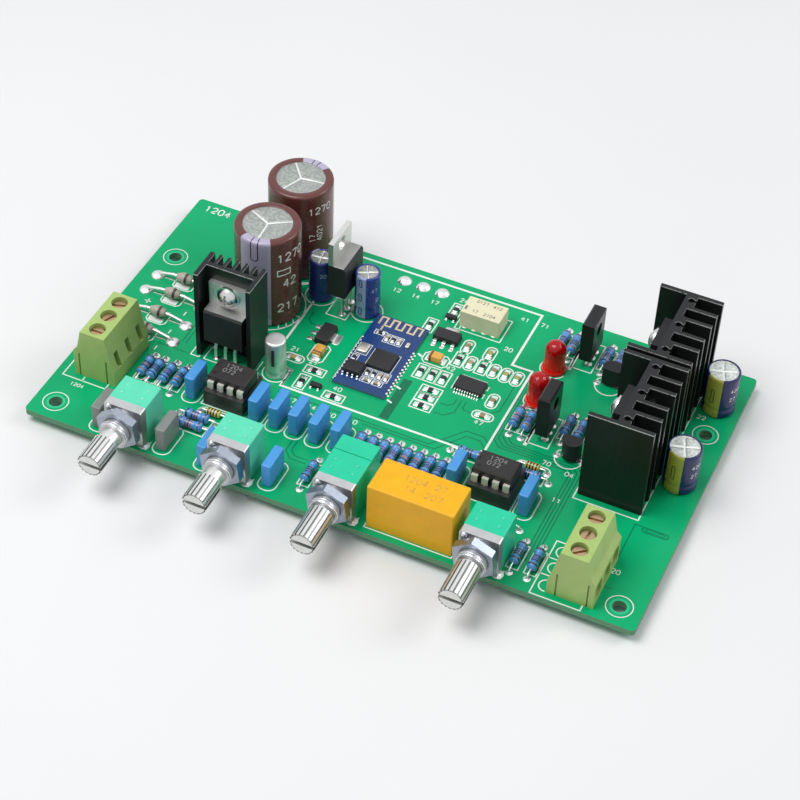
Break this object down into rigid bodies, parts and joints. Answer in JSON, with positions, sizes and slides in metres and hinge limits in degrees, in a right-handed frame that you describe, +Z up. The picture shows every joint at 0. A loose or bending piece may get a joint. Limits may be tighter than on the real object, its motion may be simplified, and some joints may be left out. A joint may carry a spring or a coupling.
{
  "type": "preamplifier tone board",
  "caption": "Stereo preamplifier and tone control circuit board with front-edge potentiometers, screw terminals, relays, finned heatsinks and a wireless audio module.",
  "frame": {"origin": "centre of the four corner mounting holes, on the board's underside", "axes": "+X to the right along the front edge, +Y to the back edge, +Z up out of the component side; the potentiometer shafts point to -Y"},
  "size_m": [0.15, 0.0996, 0.0298],
  "materials": {
    "choke_yellow": "gloss lacquer with dark bands",
    "relay_yellow": "smooth moulded",
    "ceramic": "small ceramic bodies with tinned ends",
    "socket_black": "moulded",
    "solder_mask": "glossy solder mask with white print",
    "package_black": "moulded, metal tab where it has one",
    "film_blue": "smooth moulded box",
    "sleeve_brown": "shrunk sleeve over an aluminium can",
    "anodised_black": "extruded, black anodised",
    "film_grey": "smooth moulded box",
    "solder": "bright solder",
    "terminal_green": "moulded",
    "module_blue": "blue solder mask with white print",
    "module_black": "moulded chips and ceramic parts",
    "sleeve_navy": "shrunk sleeve over an aluminium can",
    "nickel": "nickel plated",
    "tinned": "tinned",
    "diode_grey": "moulded with a pale band",
    "lamp_red": "tinted diffused resin",
    "resistor_blue": "gloss lacquer with bands",
    "relay_cream": "moulded",
    "sleeve_blue": "shrunk sleeves over aluminium cans",
    "tantalum_orange": "moulded",
    "pot_mint": "moulded",
    "pot_green": "moulded",
    "shaft_metal": "turned and knurled",
    "screw_copper": "copper-coloured plating",
    "cage_steel": "zinc plated"
  },
  "bodies": {
    "board": {"banded_chokes": "choke_yellow", "changeover_relay": "relay_yellow", "chip_parts": "ceramic", "chip_sockets": "socket_black", "circuit_board": "solder_mask", "driver_transistors": "package_black", "film_capacitors": "film_blue", "free_regulator": "package_black", "front_filter_capacitor": "sleeve_brown", "front_heatsink": "anodised_black", "grey_film_capacitors": "film_grey", "input_solder": "solder", "left_amplifier_chip": "package_black", "left_heatsink": "anodised_black", "left_regulator": "package_black", "left_terminal_housing": "terminal_green", "module_board": "module_blue", "module_parts": "module_black", "output_capacitors": "sleeve_navy", "pot_bushing_1": "nickel", "pot_bushing_2": "nickel", "pot_bushing_3": "nickel", "pot_bushing_4": "nickel", "pot_housing_1": "pot_mint", "pot_housing_2": "pot_mint", "pot_housing_3": "pot_green", "pot_housing_4": "pot_green", "pot_nuts": "nickel", "pot_pins": "tinned", "rear_filter_capacitor": "sleeve_brown", "rear_heatsink": "anodised_black", "rectifier_diodes": "diode_grey", "red_lamps": "lamp_red", "regulator_screws": "nickel", "resistors": "resistor_blue", "right_amplifier_chip": "package_black", "right_regulators": "package_black", "right_terminal_housing": "terminal_green", "signal_relay": "relay_cream", "small_capacitors": "sleeve_blue", "small_transistors": "package_black", "surface_chips": "package_black", "tantalum_capacitors": "tantalum_orange", "terminal_contacts": "tinned"},
    "shaft_1": {"pot_shaft_1": "shaft_metal"},
    "shaft_2": {"pot_shaft_2": "shaft_metal"},
    "shaft_3": {"pot_shaft_3": "shaft_metal"},
    "shaft_4": {"pot_shaft_4": "shaft_metal"},
    "screw_1": {"terminal_screw_1": "screw_copper"},
    "cage_1": {"clamp_cage_1": "cage_steel"},
    "screw_2": {"terminal_screw_2": "screw_copper"},
    "cage_2": {"clamp_cage_2": "cage_steel"},
    "screw_3": {"terminal_screw_3": "screw_copper"},
    "cage_3": {"clamp_cage_3": "cage_steel"},
    "screw_4": {"terminal_screw_4": "screw_copper"},
    "cage_4": {"clamp_cage_4": "cage_steel"},
    "screw_5": {"terminal_screw_5": "screw_copper"},
    "cage_5": {"clamp_cage_5": "cage_steel"},
    "screw_6": {"terminal_screw_6": "screw_copper"},
    "cage_6": {"clamp_cage_6": "cage_steel"}
  },
  "joints": [
    {"name": "pot_turn_1", "type": "hinge", "parent": "board", "child": "shaft_1", "pos_m": [-0.0489, -0.0388, 0.008], "axis": [0, 1, 0], "range_deg": [-140, 140]},
    {"name": "pot_turn_2", "type": "hinge", "parent": "board", "child": "shaft_2", "pos_m": [-0.0227, -0.0388, 0.008], "axis": [0, 1, 0], "range_deg": [-140, 140]},
    {"name": "pot_turn_3", "type": "hinge", "parent": "board", "child": "shaft_3", "pos_m": [0.0035, -0.0388, 0.008], "axis": [0, 1, 0], "range_deg": [-140, 140]},
    {"name": "pot_turn_4", "type": "hinge", "parent": "board", "child": "shaft_4", "pos_m": [0.0383, -0.0388, 0.008], "axis": [0, 1, 0], "range_deg": [-140, 140]},
    {"name": "screw_turn_1", "type": "hinge", "parent": "board", "child": "screw_1", "pos_m": [-0.0652, -0.01548, 0.0136], "axis": [0, 0, -1], "range_deg": [0, 1800]},
    {"name": "cage_rise_1", "type": "slide", "parent": "board", "child": "cage_1", "axis": [0, 0, 1], "range_m": [0, 0.0025]},
    {"name": "screw_turn_2", "type": "hinge", "parent": "board", "child": "screw_2", "pos_m": [-0.0652, -0.0104, 0.0136], "axis": [0, 0, -1], "range_deg": [0, 1800]},
    {"name": "cage_rise_2", "type": "slide", "parent": "board", "child": "cage_2", "axis": [0, 0, 1], "range_m": [0, 0.0025]},
    {"name": "screw_turn_3", "type": "hinge", "parent": "board", "child": "screw_3", "pos_m": [-0.0652, -0.00532, 0.0136], "axis": [0, 0, -1], "range_deg": [0, 1800]},
    {"name": "cage_rise_3", "type": "slide", "parent": "board", "child": "cage_3", "axis": [0, 0, 1], "range_m": [0, 0.0025]},
    {"name": "screw_turn_4", "type": "hinge", "parent": "board", "child": "screw_4", "pos_m": [0.0594, -0.02913, 0.0136], "axis": [0, 0, -1], "range_deg": [0, 1800]},
    {"name": "cage_rise_4", "type": "slide", "parent": "board", "child": "cage_4", "axis": [0, 0, 1], "range_m": [0, 0.0025]},
    {"name": "screw_turn_5", "type": "hinge", "parent": "board", "child": "screw_5", "pos_m": [0.0594, -0.02405, 0.0136], "axis": [0, 0, -1], "range_deg": [0, 1800]},
    {"name": "cage_rise_5", "type": "slide", "parent": "board", "child": "cage_5", "axis": [0, 0, 1], "range_m": [0, 0.0025]},
    {"name": "screw_turn_6", "type": "hinge", "parent": "board", "child": "screw_6", "pos_m": [0.0594, -0.01897, 0.0136], "axis": [0, 0, -1], "range_deg": [0, 1800]},
    {"name": "cage_rise_6", "type": "slide", "parent": "board", "child": "cage_6", "axis": [0, 0, 1], "range_m": [0, 0.0025]}
  ],
  "couplings": [
    {"joint": "screw_turn_1", "follows": "cage_rise_1", "rad_per_m": 12566},
    {"joint": "screw_turn_2", "follows": "cage_rise_2", "rad_per_m": 12566},
    {"joint": "screw_turn_3", "follows": "cage_rise_3", "rad_per_m": 12566},
    {"joint": "screw_turn_4", "follows": "cage_rise_4", "rad_per_m": 12566},
    {"joint": "screw_turn_5", "follows": "cage_rise_5", "rad_per_m": 12566},
    {"joint": "screw_turn_6", "follows": "cage_rise_6", "rad_per_m": 12566}
  ]
}
